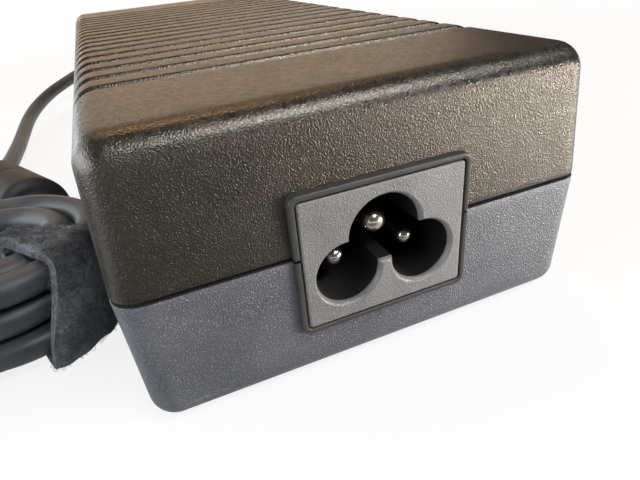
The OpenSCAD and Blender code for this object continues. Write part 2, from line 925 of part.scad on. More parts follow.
module cord_hank() {
    color("#1f1f21")
        tube(hank_line, cord_r, 6, 0);
}

module cord_strap() {
    // a hook-and-loop band round the turns at the fold beside the housing
    in0 = spiral_r(2.56) - cord_r - strap_gap;
    in1 = spiral_r(0.56) + cord_r + strap_gap;
    top = layer0_z + strap_lift + (hank_layers - 1) * hank_step + cord_r + strap_gap;
    mid_r = (in0 + in1) / 2;
    mid_z = (strap_t + top) / 2;
    color("#19191b")
        translate([fold_x, hank_y, 0])
            rotate([0, 0, -70])
                rotate_extrude(angle = 45, $fn = 64)
                    translate([mid_r, mid_z])
                        difference() {
                            polygon(rounded(in1 - in0 + 2 * strap_t, top + strap_t, 2.6, 4));
                            polygon(rounded(in1 - in0, top - strap_t, 1.1, 3));
                        }
}

module dc_tail() {
    color("#1f1f21")
        tube(tail_line, cord_r, 10, 18);
}

module on_plug(d) {
    translate(plug_at)
        rotate([0, 0, plug_turn])
            rotate([-90, 0, 0])
                translate([0, 0, d])
                    children();
}

module plug_relief() {
    color("#222224")
        on_plug(0)
            difference() {
                cylinder(d1 = 5.6, d2 = 8.4, h = plug_relief_l);
                for (k = [0:2])
                    translate([0, 0, 3 + 3.6 * k])
                        difference() {
                            cylinder(d = 12, h = 1.4);
                            cylinder(d = 5 + 0.5 * k, h = 1.4);
                        }
            }
}

module plug_body() {
    color("#222224")
        on_plug(plug_relief_l)
            difference() {
                union() {
                    cylinder(d = plug_body_d, h = plug_body_l);
                    for (a = [0, 180])
                        rotate([0, 0, a])
                            for (k = [0:4])
                                translate([plug_body_d / 2 - 0.4, -2.6, 6 + 3 * k])
                                    cube([0.9, 5.2, 1.4]);
                }
                translate([0, 0, plug_body_l - 6])
                    cylinder(d = barrel_d + 2 * barrel_step, h = 7);
            }
}

module plug_barrel() {
    color("#c9c6bd")
        on_plug(plug_relief_l + plug_body_l - 6)
            difference() {
                union() {
                    cylinder(d = barrel_d + 2 * barrel_step, h = 6.4);
                    translate([0, 0, 6])
                        cylinder(d = barrel_d, h = barrel_l);
                }
                translate([0, 0, -1])
                    cylinder(d = barrel_d - 0.8, h = barrel_l + 8);
            }
}

module plug_insulator() {
    color("#141415")
        on_plug(plug_relief_l + plug_body_l - 6)
            difference() {
                cylinder(d = barrel_d - 0.8, h = barrel_l + 5.6);
                translate([0, 0, 3])
                    cylinder(d = barrel_bore_d + 0.6, h = barrel_l + 8);
            }
}

module plug_contact() {
    // the sprung sleeve that takes the centre pin of the socket
    color("#c8a95a")
        on_plug(plug_relief_l + plug_body_l - 3)
            difference() {
                cylinder(d = barrel_bore_d + 0.6, h = barrel_l + 1.8);
                translate([0, 0, 1])
                    cylinder(d = barrel_bore_d, h = barrel_l + 3);
            }
}

upper_shell();
lower_shell();
inlet_body();
line_pin();
neutral_pin();
earth_pin();
line_wire();
neutral_wire();
earth_wire();
insulating_sheet();
lower_shield();
upper_shield();
main_board();
fuse();
varistor();
inrush_thermistor();
x_capacitor();
choke_core();
choke_winding();
y_capacitors();
bridge_rectifier();
primary_heatsink();
boost_inductor();
boost_transistor();
switch_transistor();
bulk_capacitor();
controller_chips();
transformer_core();
transformer_bobbin();
transformer_winding();
optocoupler();
secondary_heatsink();
output_rectifier();
output_capacitors();
output_inductor();
heatsink_screws();
output_wires();
cord_relief();
dc_lead();
ferrite_cover();
ferrite_core();
cord_hank();
cord_strap();
dc_tail();
plug_relief();
plug_body();
plug_barrel();
plug_insulator();
plug_contact();
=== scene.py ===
import json
import math
import random

import bmesh
import bpy
from mathutils import Matrix, Vector


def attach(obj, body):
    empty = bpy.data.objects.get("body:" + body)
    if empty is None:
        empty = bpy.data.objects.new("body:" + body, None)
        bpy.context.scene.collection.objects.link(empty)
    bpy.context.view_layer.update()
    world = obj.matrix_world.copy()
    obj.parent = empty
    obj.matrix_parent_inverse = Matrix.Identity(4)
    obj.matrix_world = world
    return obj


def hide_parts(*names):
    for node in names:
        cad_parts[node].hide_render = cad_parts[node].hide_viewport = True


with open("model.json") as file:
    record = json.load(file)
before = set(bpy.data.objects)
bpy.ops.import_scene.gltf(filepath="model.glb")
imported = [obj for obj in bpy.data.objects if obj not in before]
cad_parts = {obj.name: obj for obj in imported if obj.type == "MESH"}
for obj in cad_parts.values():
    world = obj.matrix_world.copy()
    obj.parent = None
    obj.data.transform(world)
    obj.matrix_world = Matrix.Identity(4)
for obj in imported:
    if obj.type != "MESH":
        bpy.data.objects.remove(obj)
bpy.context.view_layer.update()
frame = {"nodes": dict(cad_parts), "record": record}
mm = 0.001
print("frame loaded:", len(frame["nodes"]), "nodes")

# where the eye stands, in millimetres, and which way it looks
eye = {
    "at": (-24.69, -118.15, 47.98),
    "right": (0.9151, -0.3942, -0.0845),
    "up": (0.2690, 0.4411, 0.8562),
    "forward": (0.3003, 0.8063, -0.5097),
    "lens": 27.88,
    "sensor": 36,
    "nearest": 0.002,  # this and the next in metres
    "furthest": 20,
}


def makeCamera():
    data = bpy.data.cameras.new("eye")
    data.lens = eye["lens"]
    data.sensor_width = eye["sensor"]
    data.clip_start = eye["nearest"]
    data.clip_end = eye["furthest"]
    cam = bpy.data.objects.new("eye", data)
    bpy.context.collection.objects.link(cam)
    right, up, forward = [Vector(eye[way]).normalized() for way in ("right", "up", "forward")]
    turn = Matrix([right, up, -forward]).transposed().to_4x4()
    cam.matrix_world = Matrix.Translation(Vector(eye["at"]) * mm) @ turn
    bpy.context.scene.camera = cam
    print("camera placed")


makeCamera()

# the output lead and its hank, in millimetres, with angles in degrees
lead = {
    "radius": 2.1,
    "step": 4.65,  # from one layer or turn to the next
    "hankRadius": 15.4,
    "firstTurn": 5.5 / 24,  # where the first layer starts, as a share of a turn
    "foldX": -48.0,
    "hankY": -40.8,
    "run": 84.0,
    "layers": 3,
    "leftGrow": 4.0,
    "floorGap": 0.05,
    "strapLift": 1.8,
    "turn": 27.0,
    "seam": 18.1,
    "reliefEnd": 104.3,
    "ferriteNear": 16.0,
    "ferriteFar": 48.0,
    "ferriteZ": 7.2,
    "plugAt": (-129.6, 24.0, 5.4),
    "turnRings": 24,
    "quarterRings": 4,
    "runRings": 3,
    "foldRings": 10,
}


def ease(t):
    t = max(0.0, min(1.0, t))
    return t * t * (3 - 2 * t)


def alongLine(d, z):
    # on the straight line that the ferrite lies on, d from where the hank starts
    a = math.radians(lead["turn"])
    r = lead["hankRadius"] - 0.208 * lead["step"]
    x = lead["foldX"] + r * math.cos(a) - math.sin(a) * d
    y = lead["hankY"] + r * math.sin(a) + math.cos(a) * d
    return Vector((x, y, z))


def spiralRadius(s):
    # winds inwards on one layer and outwards on the next
    layer = max(0, min(lead["layers"] - 1, math.floor((s - lead["firstTurn"]) / 2)))
    t = s - lead["firstTurn"] - 2 * layer
    if layer % 2 == 0:
        return lead["hankRadius"] - lead["step"] * t
    return lead["hankRadius"] + lead["step"] * (t - 2)


def hankPoint(j):
    # place j along the hank: a quarter turn, a run, a half turn at the fold, a run back and a quarter turn
    s = j / lead["turnRings"]
    k = j % lead["turnRings"]
    r = spiralRadius(s)
    grow = lead["leftGrow"]
    foldX, leftX, y0 = lead["foldX"], lead["foldX"] - lead["run"], lead["hankY"]
    quarter, run, fold = lead["quarterRings"], lead["runRings"], lead["foldRings"]
    if k < quarter:
        a = math.radians(180 - 90 * k / quarter)
        x, y = leftX + (r + grow) * math.cos(a), y0 + (r + grow) * math.sin(a)
    elif k < quarter + run:
        t = (k - quarter) / run
        x, y = leftX + lead["run"] * t, y0 + r + grow * (1 - ease(t) * 0.4 - t * 0.6)
    elif k < quarter + run + fold:
        a = math.radians(90 - 180 * (k - quarter - run) / fold)
        x, y = foldX + r * math.cos(a), y0 + r * math.sin(a)
    elif k < quarter + 2 * run + fold:
        t = (k - quarter - run - fold) / run
        x, y = foldX - lead["run"] * t, y0 - r - grow * (ease(t) * 0.4 + t * 0.6)
    else:
        a = math.radians(270 - 90 * (k - quarter - 2 * run - fold) / quarter)
        x, y = leftX + (r + grow) * math.cos(a), y0 + (r + grow) * math.sin(a)
    climbed = sum(ease((s - lead["firstTurn"] - 2 * m) * 8 + 0.5) for m in range(1, lead["layers"]))
    lift = lead["strapLift"] * ease((x - lead["foldX"] + 34) / 26)
    return Vector((x, y, lead["radius"] + lead["floorGap"] + climbed * lead["step"] + lift))


def through(points, spacing=1.6):
    # a smooth line through the points
    pts = [Vector(p) for p in points]
    line = []
    for i in range(len(pts) - 1):
        a, b, c, d = pts[max(i - 1, 0)], pts[i], pts[i + 1], pts[min(i + 2, len(pts) - 1)]
        n = max(2, round((c - b).length / spacing))
        for k in range(n):
            t = k / n
            square, cube = 2 * a - 5 * b + 4 * c - d, 3 * b - a - 3 * c + d
            line.append(0.5 * (2 * b + (c - a) * t + square * t * t + cube * t ** 3))
    return line + [pts[-1]]


def leadRoute():
    # from the relief to the ferrite, round the hank and out to the plug
    seam, end, z = lead["seam"], lead["reliefEnd"], lead["ferriteZ"]
    free = through([
        (0, end, seam), (0, end + 5, seam), (-2, 117, 17.9), (-9, 127, 16.8), (-20, 131, 14.4),
        (-31, 127, 11.2), (-40, 119.5, 8.7), (-47.5, 109, 6.7), (-52.5, 96, 4.9), (-55, 83, 3.5),
        (-56, 68, 2.5), (-56.5, 53, 2.15), (-57.5, 38, 2.15), (-59.6, 28, 3), (-61.6, 19.5, 5.2),
        alongLine(lead["ferriteFar"] + 5, z), alongLine(lead["ferriteFar"], z),
    ])
    inside = [alongLine(lead["ferriteFar"] - 2 * i, z) for i in range(1, 16)]
    lowest = lead["radius"] + lead["floorGap"] + lead["strapLift"]
    near = lead["ferriteNear"]
    joinIn = through([
        alongLine(near, z), alongLine(near - 4.2, z), alongLine(7, lowest + 1), alongLine(2.6, lowest),
        hankPoint(11),
    ])
    lastRing = lead["layers"] * 2 * lead["turnRings"]
    turns = [hankPoint(j / 6) for j in range(67, lastRing * 6 + 1)]
    leftX, y0 = lead["foldX"] - lead["run"], lead["hankY"]
    endX = leftX - lead["hankRadius"] + 1.771 * lead["step"] - lead["leftGrow"]
    top = lead["radius"] + lead["floorGap"] + (lead["layers"] - 1) * lead["step"]
    tail = through([
        turns[-1],
        (endX + 0.5, y0 + 4.2, top + 2), (endX + 0.9, y0 + 6.3, top + 3.4), (endX + 1.1, y0 + 8.6, top + 4.6),
        (leftX - 10.1, y0 + 13.5, top + 5), (leftX - 10.1, y0 + 21.5, 12.8), (leftX - 9.4, y0 + 30.5, 6.9),
        (leftX - 7.6, y0 + 39.6, 3), (leftX - 4.6, 6.4, 3), (leftX - 2.2, 12.5, 4.8),
        (leftX - 0.4, 17.05, 5.4), lead["plugAt"],
    ])
    route = free + inside + joinIn + turns + tail[1:]
    kept = [route[0]]
    for p in route[1:]:
        if (p - kept[-1]).length > 0.9:
            kept.append(p)
    kept[-1] = route[-1]
    return kept


def makeCord():
    route = leadRoute()
    total = sum((b - a).length for a, b in zip(route, route[1:])) * mm
    curve = bpy.data.curves.new("dcCord", "CURVE")
    curve.dimensions = "3D"
    curve.bevel_depth = lead["radius"] * mm
    curve.bevel_resolution = 5
    curve.use_fill_caps = True
    spline = curve.splines.new("POLY")
    spline.points.add(len(route) - 1)
    for slot, p in zip(spline.points, route):
        slot.co = (p.x * mm, p.y * mm, p.z * mm, 1)
    spline.use_smooth = True
    cord = bpy.data.objects.new("dcCord", curve)
    bpy.context.collection.objects.link(cord)
    print("cord length", round(total, 4))
    return cord, total


cord, cordLength = makeCord()


class Val:
    # one socket, so that finishes can be written as sums
    def __init__(self, wiring, socket):
        self.wiring = wiring
        self.socket = socket

    def math(self, operation, a, b):
        return self.wiring.node("ShaderNodeMath", {"operation": operation}, {0: a, 1: b})

    def __add__(self, other):
        return self.math("ADD", self, other)

    def __radd__(self, other):
        return self.math("ADD", other, self)

    def __sub__(self, other):
        return self.math("SUBTRACT", self, other)

    def __rsub__(self, other):
        return self.math("SUBTRACT", other, self)

    def __mul__(self, other):
        return self.math("MULTIPLY", self, other)

    def __rmul__(self, other):
        return self.math("MULTIPLY", other, self)

    def above(self, low, high):
        # 0 below low, 1 above high and smooth between them
        smooth = {"interpolation_type": "SMOOTHSTEP"}
        return self.wiring.node("ShaderNodeMapRange", smooth, {0: self, 1: low, 2: high, 3: 0.0, 4: 1.0})


class Wiring:
    # the nodes of a finish or of the sky
    def __init__(self, tree):
        self.tree = tree
        self.tree.nodes.clear()

    def node(self, kind, settings=None, inputs=None, output=0):
        made = self.tree.nodes.new(kind)
        for key, value in (settings or {}).items():
            setattr(made, key, value)
        for key, value in (inputs or {}).items():
            self.feed(made.inputs[key], value)
        return Val(self, made.outputs[output])

    def feed(self, socket, value):
        if isinstance(value, Val):
            self.tree.links.new(value.socket, socket)
        else:
            socket.default_value = value

    def place(self):
        return self.node("ShaderNodeTexCoord", output=3)

    def stretched(self, scale, turn=(0, 0, 0)):
        values = {"Vector": self.place(), "Scale": scale, "Rotation": turn}
        return self.node("ShaderNodeMapping", None, values)

    def noise(self, scale, detail=2.0, rough=0.5, at=None, warp=0.0):
        values = {"Vector": at or self.place(), "Scale": scale, "Detail": detail}
        values.update({"Roughness": rough, "Distortion": warp})
        return self.node("ShaderNodeTexNoise", None, values)

    def cells(self, scale):
        values = {"Vector": self.place(), "Scale": scale, "Randomness": 1.0}
        return self.node("ShaderNodeTexVoronoi", {"feature": "F1"}, values)

    def edges(self):
        # 0 on the flats, rising on rounded edges and corners
        normal = self.node("ShaderNodeNewGeometry", output=1)
        facing = self.node("ShaderNodeVectorMath", {"operation": "ABSOLUTE"}, {0: normal})
        x, y, z = [self.node("ShaderNodeSeparateXYZ", None, {0: facing}, k) for k in range(3)]
        return 1.0 - x.math("MAXIMUM", x.math("MAXIMUM", x, y), z)

    def blend(self, amount, low, high):
        # a mix of two colours
        wide = [v if isinstance(v, Val) else (*v, 1.0) for v in (low, high)]
        return self.node("ShaderNodeMix", {"data_type": "RGBA"}, {0: amount, 6: wide[0], 7: wide[1]}, 2)

    def bump(self, height, strength, depth):
        return self.node("ShaderNodeBump", None, {"Height": height, "Strength": strength, "Distance": depth})


class Finish(Wiring):
    # a material
    def __init__(self, name, **uniform):
        self.material = bpy.data.materials.new(name)
        self.material.use_nodes = True
        super().__init__(self.material.node_tree)
        self.shader = self.tree.nodes.new("ShaderNodeBsdfPrincipled")
        self.end = self.tree.nodes.new("ShaderNodeOutputMaterial")
        self.tree.links.new(self.shader.outputs[0], self.end.inputs["Surface"])
        for key, value in uniform.items():
            self.put(key.replace("_", " "), value)

    def put(self, key, value):
        self.feed(self.shader.inputs[key], value)


# the spark-eroded grain: noise scales per metre, depth in metres
sparkGrain = {
    "cell": 4200.0,
    "fine": 6000.0,
    "mid": 2900.0,
    "gloss": 1400.0,
    "depth": 0.00011,
    "strength": 0.9,
    # painted glints: share, cell size and patch size of the pale specks on the grain
    "paintedGlints": 0.22,
    "paintedGlintCell": 2100.0,
    "paintedGlintPatch": 760.0,
    "dustCell": 420.0,
    "dustPatch": 130.0,
    "dustColour": (0.62, 0.60, 0.56),
    "scratchScale": (60.0, 900.0, 900.0),
    "scratchTurn": (0.3, 0.2, 0.9),
    "scratchColour": (0.22, 0.21, 0.19),
    "jointHigh": 0.5 * mm,
}


def grainedPlastic(name, dark, pale, tint, gloss, specular, strength, dustAndGlints, seam=None):
    # moulded plastic with a grain, rubbed smoother on its edges, with a little dust and fine rubs, pale
    # specks on the grain as painted glints, and with a seam given, painted shade in the joint between the
    # shells
    f = Finish(name, IOR=1.5, Specular_IOR_Level=specular, Specular_Tint=tint)
    grain = sparkGrain
    height = f.cells(grain["cell"]) * 0.35 + f.noise(grain["fine"], 1.0) * 0.9
    height = height + f.noise(grain["mid"], 1.0) * 0.15
    slow = f.noise(38.0, 3.0)
    patch = f.noise(210.0, 4.0, 0.6)
    rubbed = f.edges().above(0.02, 0.15)
    tops = height.above(0.74, 0.95)
    colour = f.blend((slow * 0.6 + patch * 0.4).above(0.35, 0.68), dark, pale)
    colour = f.blend(tops * min(0.5, dustAndGlints), colour, [min(1.0, c * 2.2) for c in pale])
    # painted glints: pale specks stand in for light glinting off the grain's facets, more of them where there
    # is more dust
    paintedGlints = (1.0 - f.cells(grain["paintedGlintCell"])).above(0.72, 0.86)
    paintedGlints = paintedGlints * f.noise(grain["paintedGlintPatch"], 1.0).above(0.42, 0.6)
    paintedGlintShare = grain["paintedGlints"] * min(1.0, dustAndGlints * 2)
    colour = f.blend(paintedGlints * paintedGlintShare, colour, [min(1.0, c * 1.5 + 0.075) for c in pale])
    specks = (1.0 - f.cells(grain["dustCell"])).above(0.965, 0.985)
    specks = specks * f.noise(grain["dustPatch"], 2.0).above(0.55, 0.66) * dustAndGlints
    colour = f.blend(specks, colour, grain["dustColour"])
    scratchAt = f.stretched(grain["scratchScale"], grain["scratchTurn"])
    scratch = f.noise(1.0, 1.0, 0.4, scratchAt).above(0.735, 0.76) * f.noise(45.0, 2.0).above(0.52, 0.62)
    colour = f.blend(scratch * 0.3, colour, grain["scratchColour"])
    rough = gloss + (patch - 0.5) * 0.14 + (f.noise(grain["gloss"], 2.0, 0.6) - 0.5) * 0.35
    rough = rough - tops * 0.05 + specks * 0.3 - rubbed * 0.1
    if seam:
        # painted shade: the joint between the shells is painted black and made rough, so no light gets out of
        # it
        high = f.node("ShaderNodeSeparateXYZ", None, {0: f.place()}, 2)
        top = seam + grain["jointHigh"]
        paintedJointShade = high.above(seam - 0.04 * mm, seam) * (1.0 - high.above(top, top + 0.06 * mm))
        colour = f.blend(paintedJointShade, colour, (0.0, 0.0, 0.0))
        rough = rough + paintedJointShade * 0.6
    f.put("Base Color", colour)
    f.put("Roughness", rough)
    f.put("Normal", f.bump(height * (1.0 - rubbed * 0.55), strength, grain["depth"]))
    return f.material


def smoothPlastic(name, dark, pale, gloss):
    # the same plastic where the mould was polished
    f = Finish(name, IOR=1.5, Specular_IOR_Level=0.5)
    fine = f.noise(1500.0, 3.0, 0.6)
    slow = f.noise(120.0, 3.0, 0.5)
    f.put("Base Color", f.blend(slow.above(0.3, 0.7), dark, pale))
    f.put("Roughness", gloss + (fine - 0.5) * 0.18)
    f.put("Normal", f.bump(fine + slow * 0.5, 0.35, 0.02 * mm))
    return f.material


def polishedPin(name, colour, warm, gloss):
    # polished metal with drawn lines and handling marks
    f = Finish(name, Metallic=1.0)
    drawn = f.noise(1.0, 2.0, 0.5, f.stretched((5200.0, 300.0, 5200.0)))
    marks = f.noise(900.0, 3.0, 0.6)
    f.put("Base Color", f.blend(marks.above(0.35, 0.7), colour, warm))
    f.put("Roughness", gloss + drawn * 0.14 + (marks - 0.5) * 0.1)
    f.put("Normal", f.bump(drawn + marks * 0.5, 0.2, 0.00001))
    return f.material


def cordRubber(name, dark, pale, gloss):
    # soft, slightly uneven rubber with a bloom of dust
    f = Finish(name, IOR=1.5, Specular_IOR_Level=0.45)
    fine = f.noise(2600.0, 3.0, 0.6)
    slow = f.noise(90.0, 4.0, 0.55)
    wavy = f.noise(320.0, 2.0, 0.5)
    bloom = slow.above(0.45, 0.72)
    f.put("Base Color", f.blend(bloom, dark, pale))
    f.put("Roughness", gloss + bloom * 0.12 + (fine - 0.5) * 0.15)
    f.put("Normal", f.bump(fine * 0.6 + wavy, 0.4, 0.00005))
    return f.material


def strapCloth(name, dark, pale):
    # napped loop side: tangled fibres that catch the light
    f = Finish(name, Sheen_Weight=0.35, Sheen_Roughness=0.5, Specular_IOR_Level=0.2)
    tangle = f.noise(1400.0, 5.0, 0.75, None, 1.2)
    curls = f.cells(1100.0)
    slow = f.noise(160.0, 3.0, 0.6)
    height = tangle * 0.9 + curls * 0.5
    f.put("Base Color", f.blend((tangle * 0.6 + slow * 0.4).above(0.42, 0.68), dark, pale))
    f.put("Roughness", 0.86 + (slow - 0.5) * 0.1)
    f.put("Normal", f.bump(height, 0.9, 0.0004))
    return f.material


# painted reflection: both shells are one plastic; the upper's warm base colour and warm specular tint stand
# in for warm light it reflects
upperLook = {
    "dark": (0.0103, 0.0095, 0.0080),
    "pale": (0.0215, 0.0193, 0.0163),
    "tint": (1.0, 0.90, 0.76, 1.0),
    "gloss": 0.37,
    "specular": 0.85,
    "strength": sparkGrain["strength"],
    "dustAndGlints": 0.5,
    "seam": lead["seam"] * mm,
}
# painted reflection: the lower shell's paler, bluish base colour and cool specular tint stand in for the
# white floor it reflects
lowerLook = {
    "dark": (0.067, 0.070, 0.079),
    "pale": (0.112, 0.116, 0.128),
    "tint": (0.93, 0.95, 1.0, 1.0),
    "gloss": 0.38,
    "specular": 1.0,
    "strength": 1.25,
    "dustAndGlints": 0.5,
    "seam": lead["seam"] * mm,
}
# painted sheen: the plate is the inlet body's plastic painted mid grey for its sheen
plateLook = {
    "dark": (0.141, 0.138, 0.137),
    "pale": (0.214, 0.211, 0.209),
    "tint": (0.97, 0.97, 0.97, 1.0),
    "gloss": 0.46,
    "specular": 0.6,
    "strength": 1.0,
    "dustAndGlints": 0.15,
}
upperPlastic = grainedPlastic("upperPlastic", **upperLook)
lowerPlastic = grainedPlastic("lowerPlastic", **lowerLook)
platePlastic = grainedPlastic("platePlastic", **plateLook)
rimPlastic = smoothPlastic("rimPlastic", (0.034, 0.032, 0.030), (0.058, 0.055, 0.052), 0.42)
# painted shade: the recess walls are the same inlet plastic painted near-black
recessPaintedShade = smoothPlastic("recessPaintedShade", (0.0096, 0.0096, 0.0096), (0.017, 0.017, 0.017), 0.5)
nickel = polishedPin("nickel", (0.90, 0.86, 0.78), (0.84, 0.74, 0.56), 0.14)
springBrass = polishedPin("springBrass", (0.78, 0.58, 0.26), (0.66, 0.46, 0.2), 0.25)
jacket = cordRubber("jacket", (0.047, 0.051, 0.056), (0.086, 0.092, 0.099), 0.40)
moulded = cordRubber("moulded", (0.0153, 0.0162, 0.017), (0.034, 0.035, 0.036), 0.56)
napped = strapCloth("napped", (0.055, 0.061, 0.069), (0.29, 0.306, 0.33))
print("finishes ready")


def show(name, mesh, material, replaced):
    # a finished piece, on its body and in place of its solids
    piece = bpy.data.objects.new(name, mesh)
    bpy.context.collection.objects.link(piece)
    mesh.materials.append(material)
    mesh.polygons.foreach_set("use_smooth", [True] * len(mesh.polygons))
    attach(piece, "root")
    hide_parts(*replaced)
    return piece


def finishMesh(name, bm, sharp):
    # join doubles, face outward and keep hard edges crisp
    bmesh.ops.remove_doubles(bm, verts=bm.verts, dist=0.002 * mm)
    bmesh.ops.recalc_face_normals(bm, faces=bm.faces)
    for edge in bm.edges:
        edge.smooth = len(edge.link_faces) != 2 or edge.calc_face_angle(0.0) < math.radians(sharp)
    mesh = bpy.data.meshes.new(name)
    bm.to_mesh(mesh)
    bm.free()
    return mesh


def addRings(bm, rings, closed=True, capStart=False, capEnd=False):
    # a skin through rings of the same length
    rows = [[bm.verts.new(Vector(p) * mm) for p in ring] for ring in rings]
    n = len(rows[0])
    for a, b in zip(rows, rows[1:]):
        for k in range(n if closed else n - 1):
            j = (k + 1) % n
            bm.faces.new((a[k], a[j], b[j], b[k]))
    if capStart:
        bm.faces.new(rows[0])
    if capEnd:
        bm.faces.new(rows[-1])
    return rows


def lathe(profile, segments, start, axis):
    # profile is (along, radius) pairs, turned about axis from start
    w = Vector(axis).normalized()
    u = w.cross(Vector((0, 0, 1))).normalized()
    v = w.cross(u).normalized()
    base = Vector(start)
    rings = []
    for along, radius in profile:
        r = max(radius, 0.0004)
        rings.append([base + w * along + r * (math.cos(a) * u + math.sin(a) * v)
                      for a in (2 * math.pi * k / segments for k in range(segments))])
    return rings


def soften(points, r, steps=3):
    # rounds the corners of a turned profile
    leastCut = 0.005
    out = [points[0]]
    for a, b, c in zip(points, points[1:], points[2:]):
        a, b, c = Vector(a), Vector(b), Vector(c)
        la, lc = (a - b).length, (c - b).length
        cut = min(r, la * 0.45, lc * 0.45)
        if cut < leastCut:
            out.append(tuple(b))
            continue
        p, q = b + (a - b) / la * cut, b + (c - b) / lc * cut
        for k in range(steps + 1):
            t = k / steps
            out.append(tuple((1 - t) ** 2 * p + 2 * t * (1 - t) * b + t * t * q))
    out.append(points[-1])
    return out


def turned(name, profile, material, replaced, start, axis, r, segments, caps=(True, True)):
    # a piece turned about an axis, with its corners rounded by r
    bm = bmesh.new()
    addRings(bm, lathe(soften(profile, r), segments, start, axis), True, caps[0], caps[1])
    return show(name, finishMesh(name, bm, 50), material, replaced)


def joinRows(bm, rowA, rowB):
    # a flat face between two closed rows of points
    edges = []
    for row in (rowA, rowB):
        for k in range(len(row)):
            edges.append(bm.edges.get((row[k], row[(k + 1) % len(row)])))
    bmesh.ops.triangle_fill(bm, edges=edges, use_beauty=True, use_dissolve=False)


def roundedLoop(w, h, r, steps):
    # a rectangle with round corners, about the origin
    loop = []
    for sx, sz, a0 in ((1, 1, 0), (-1, 1, 90), (-1, -1, 180), (1, -1, 270)):
        for k in range(steps + 1):
            a = math.radians(a0 + 90 * k / steps)
            loop.append((sx * (w / 2 - r) + r * math.cos(a), sz * (h / 2 - r) + r * math.sin(a)))
    return loop


# the two shells, in millimetres
housing = {
    "width": 62.0,
    "length": 148.0,
    "midY": 0.3,
    "seam": lead["seam"],
    "upper": 17.4,  # height of the upper shell above the seam
    "upperLean": 1.1,
    "lowerLean": 0.5,
    "edge": 3.3,
    "gap": 0.5,
    "gapDeep": 1.3,
    "lip": 0.14,  # rounding of the shells' lips at the joint
    "grooves": 17,
    "pitch": 6.5,
    "firstGroove": -51.7,
    "grooveFlat": 0.86,  # half the groove's floor
    "grooveSide": 0.6,
    "grooveDeep": 0.68,
    "grooveDrop": 9.0,
    "crown": 0.03,
    "gland": 3.2,
    "cornerSteps": 8,
}
# the cloverleaf inlet and the plate round it
inlet = {
    "faceY": -74.3,
    "plateW": 21.3,
    "plateH": 16.7,
    "plateZ": 16.8,
    "wallGap": 0.35,
    "gap": 0.2,
    "rim": 0.7,
    "pinX": 5.0,
    "pinZ": 14.55,
    "earthZ": 18.75,
    "lobe": 4.1,
    "earthLobe": 4.7,
    "floorZ": 14.9,
    "deep": 16.0,
    "mouth": 0.42,
    "mouthDeep": 0.75,
}


def grooveDepth(y):
    # share of the groove's depth at this place along the housing
    i = round((y - housing["firstGroove"]) / housing["pitch"])
    if i < 0 or i >= housing["grooves"]:
        return 0.0
    d = abs(y - housing["firstGroove"] - i * housing["pitch"])
    return 1 - ease((d - housing["grooveFlat"]) / housing["grooveSide"])


def stations(half, r):
    # places along the housing, close together round each groove
    apart = 3
    oneSide = (0.6, 0.9, 1.0, 1.12, 1.24, 1.36, 1.5, 1.9, 2.6)
    across = [-d for d in reversed(oneSide)] + [0] + list(oneSide)
    marks = [-half + r]
    y = -half + r + apart
    while y < housing["firstGroove"] - 2.5:
        marks.append(y)
        y += apart
    for i in range(housing["grooves"]):
        c = housing["firstGroove"] + i * housing["pitch"] - housing["midY"]
        marks += [c + d for d in across]
    y = marks[-1] + apart
    while y < half - r - 1.5:
        marks.append(y)
        y += apart
    return marks + [half - r]


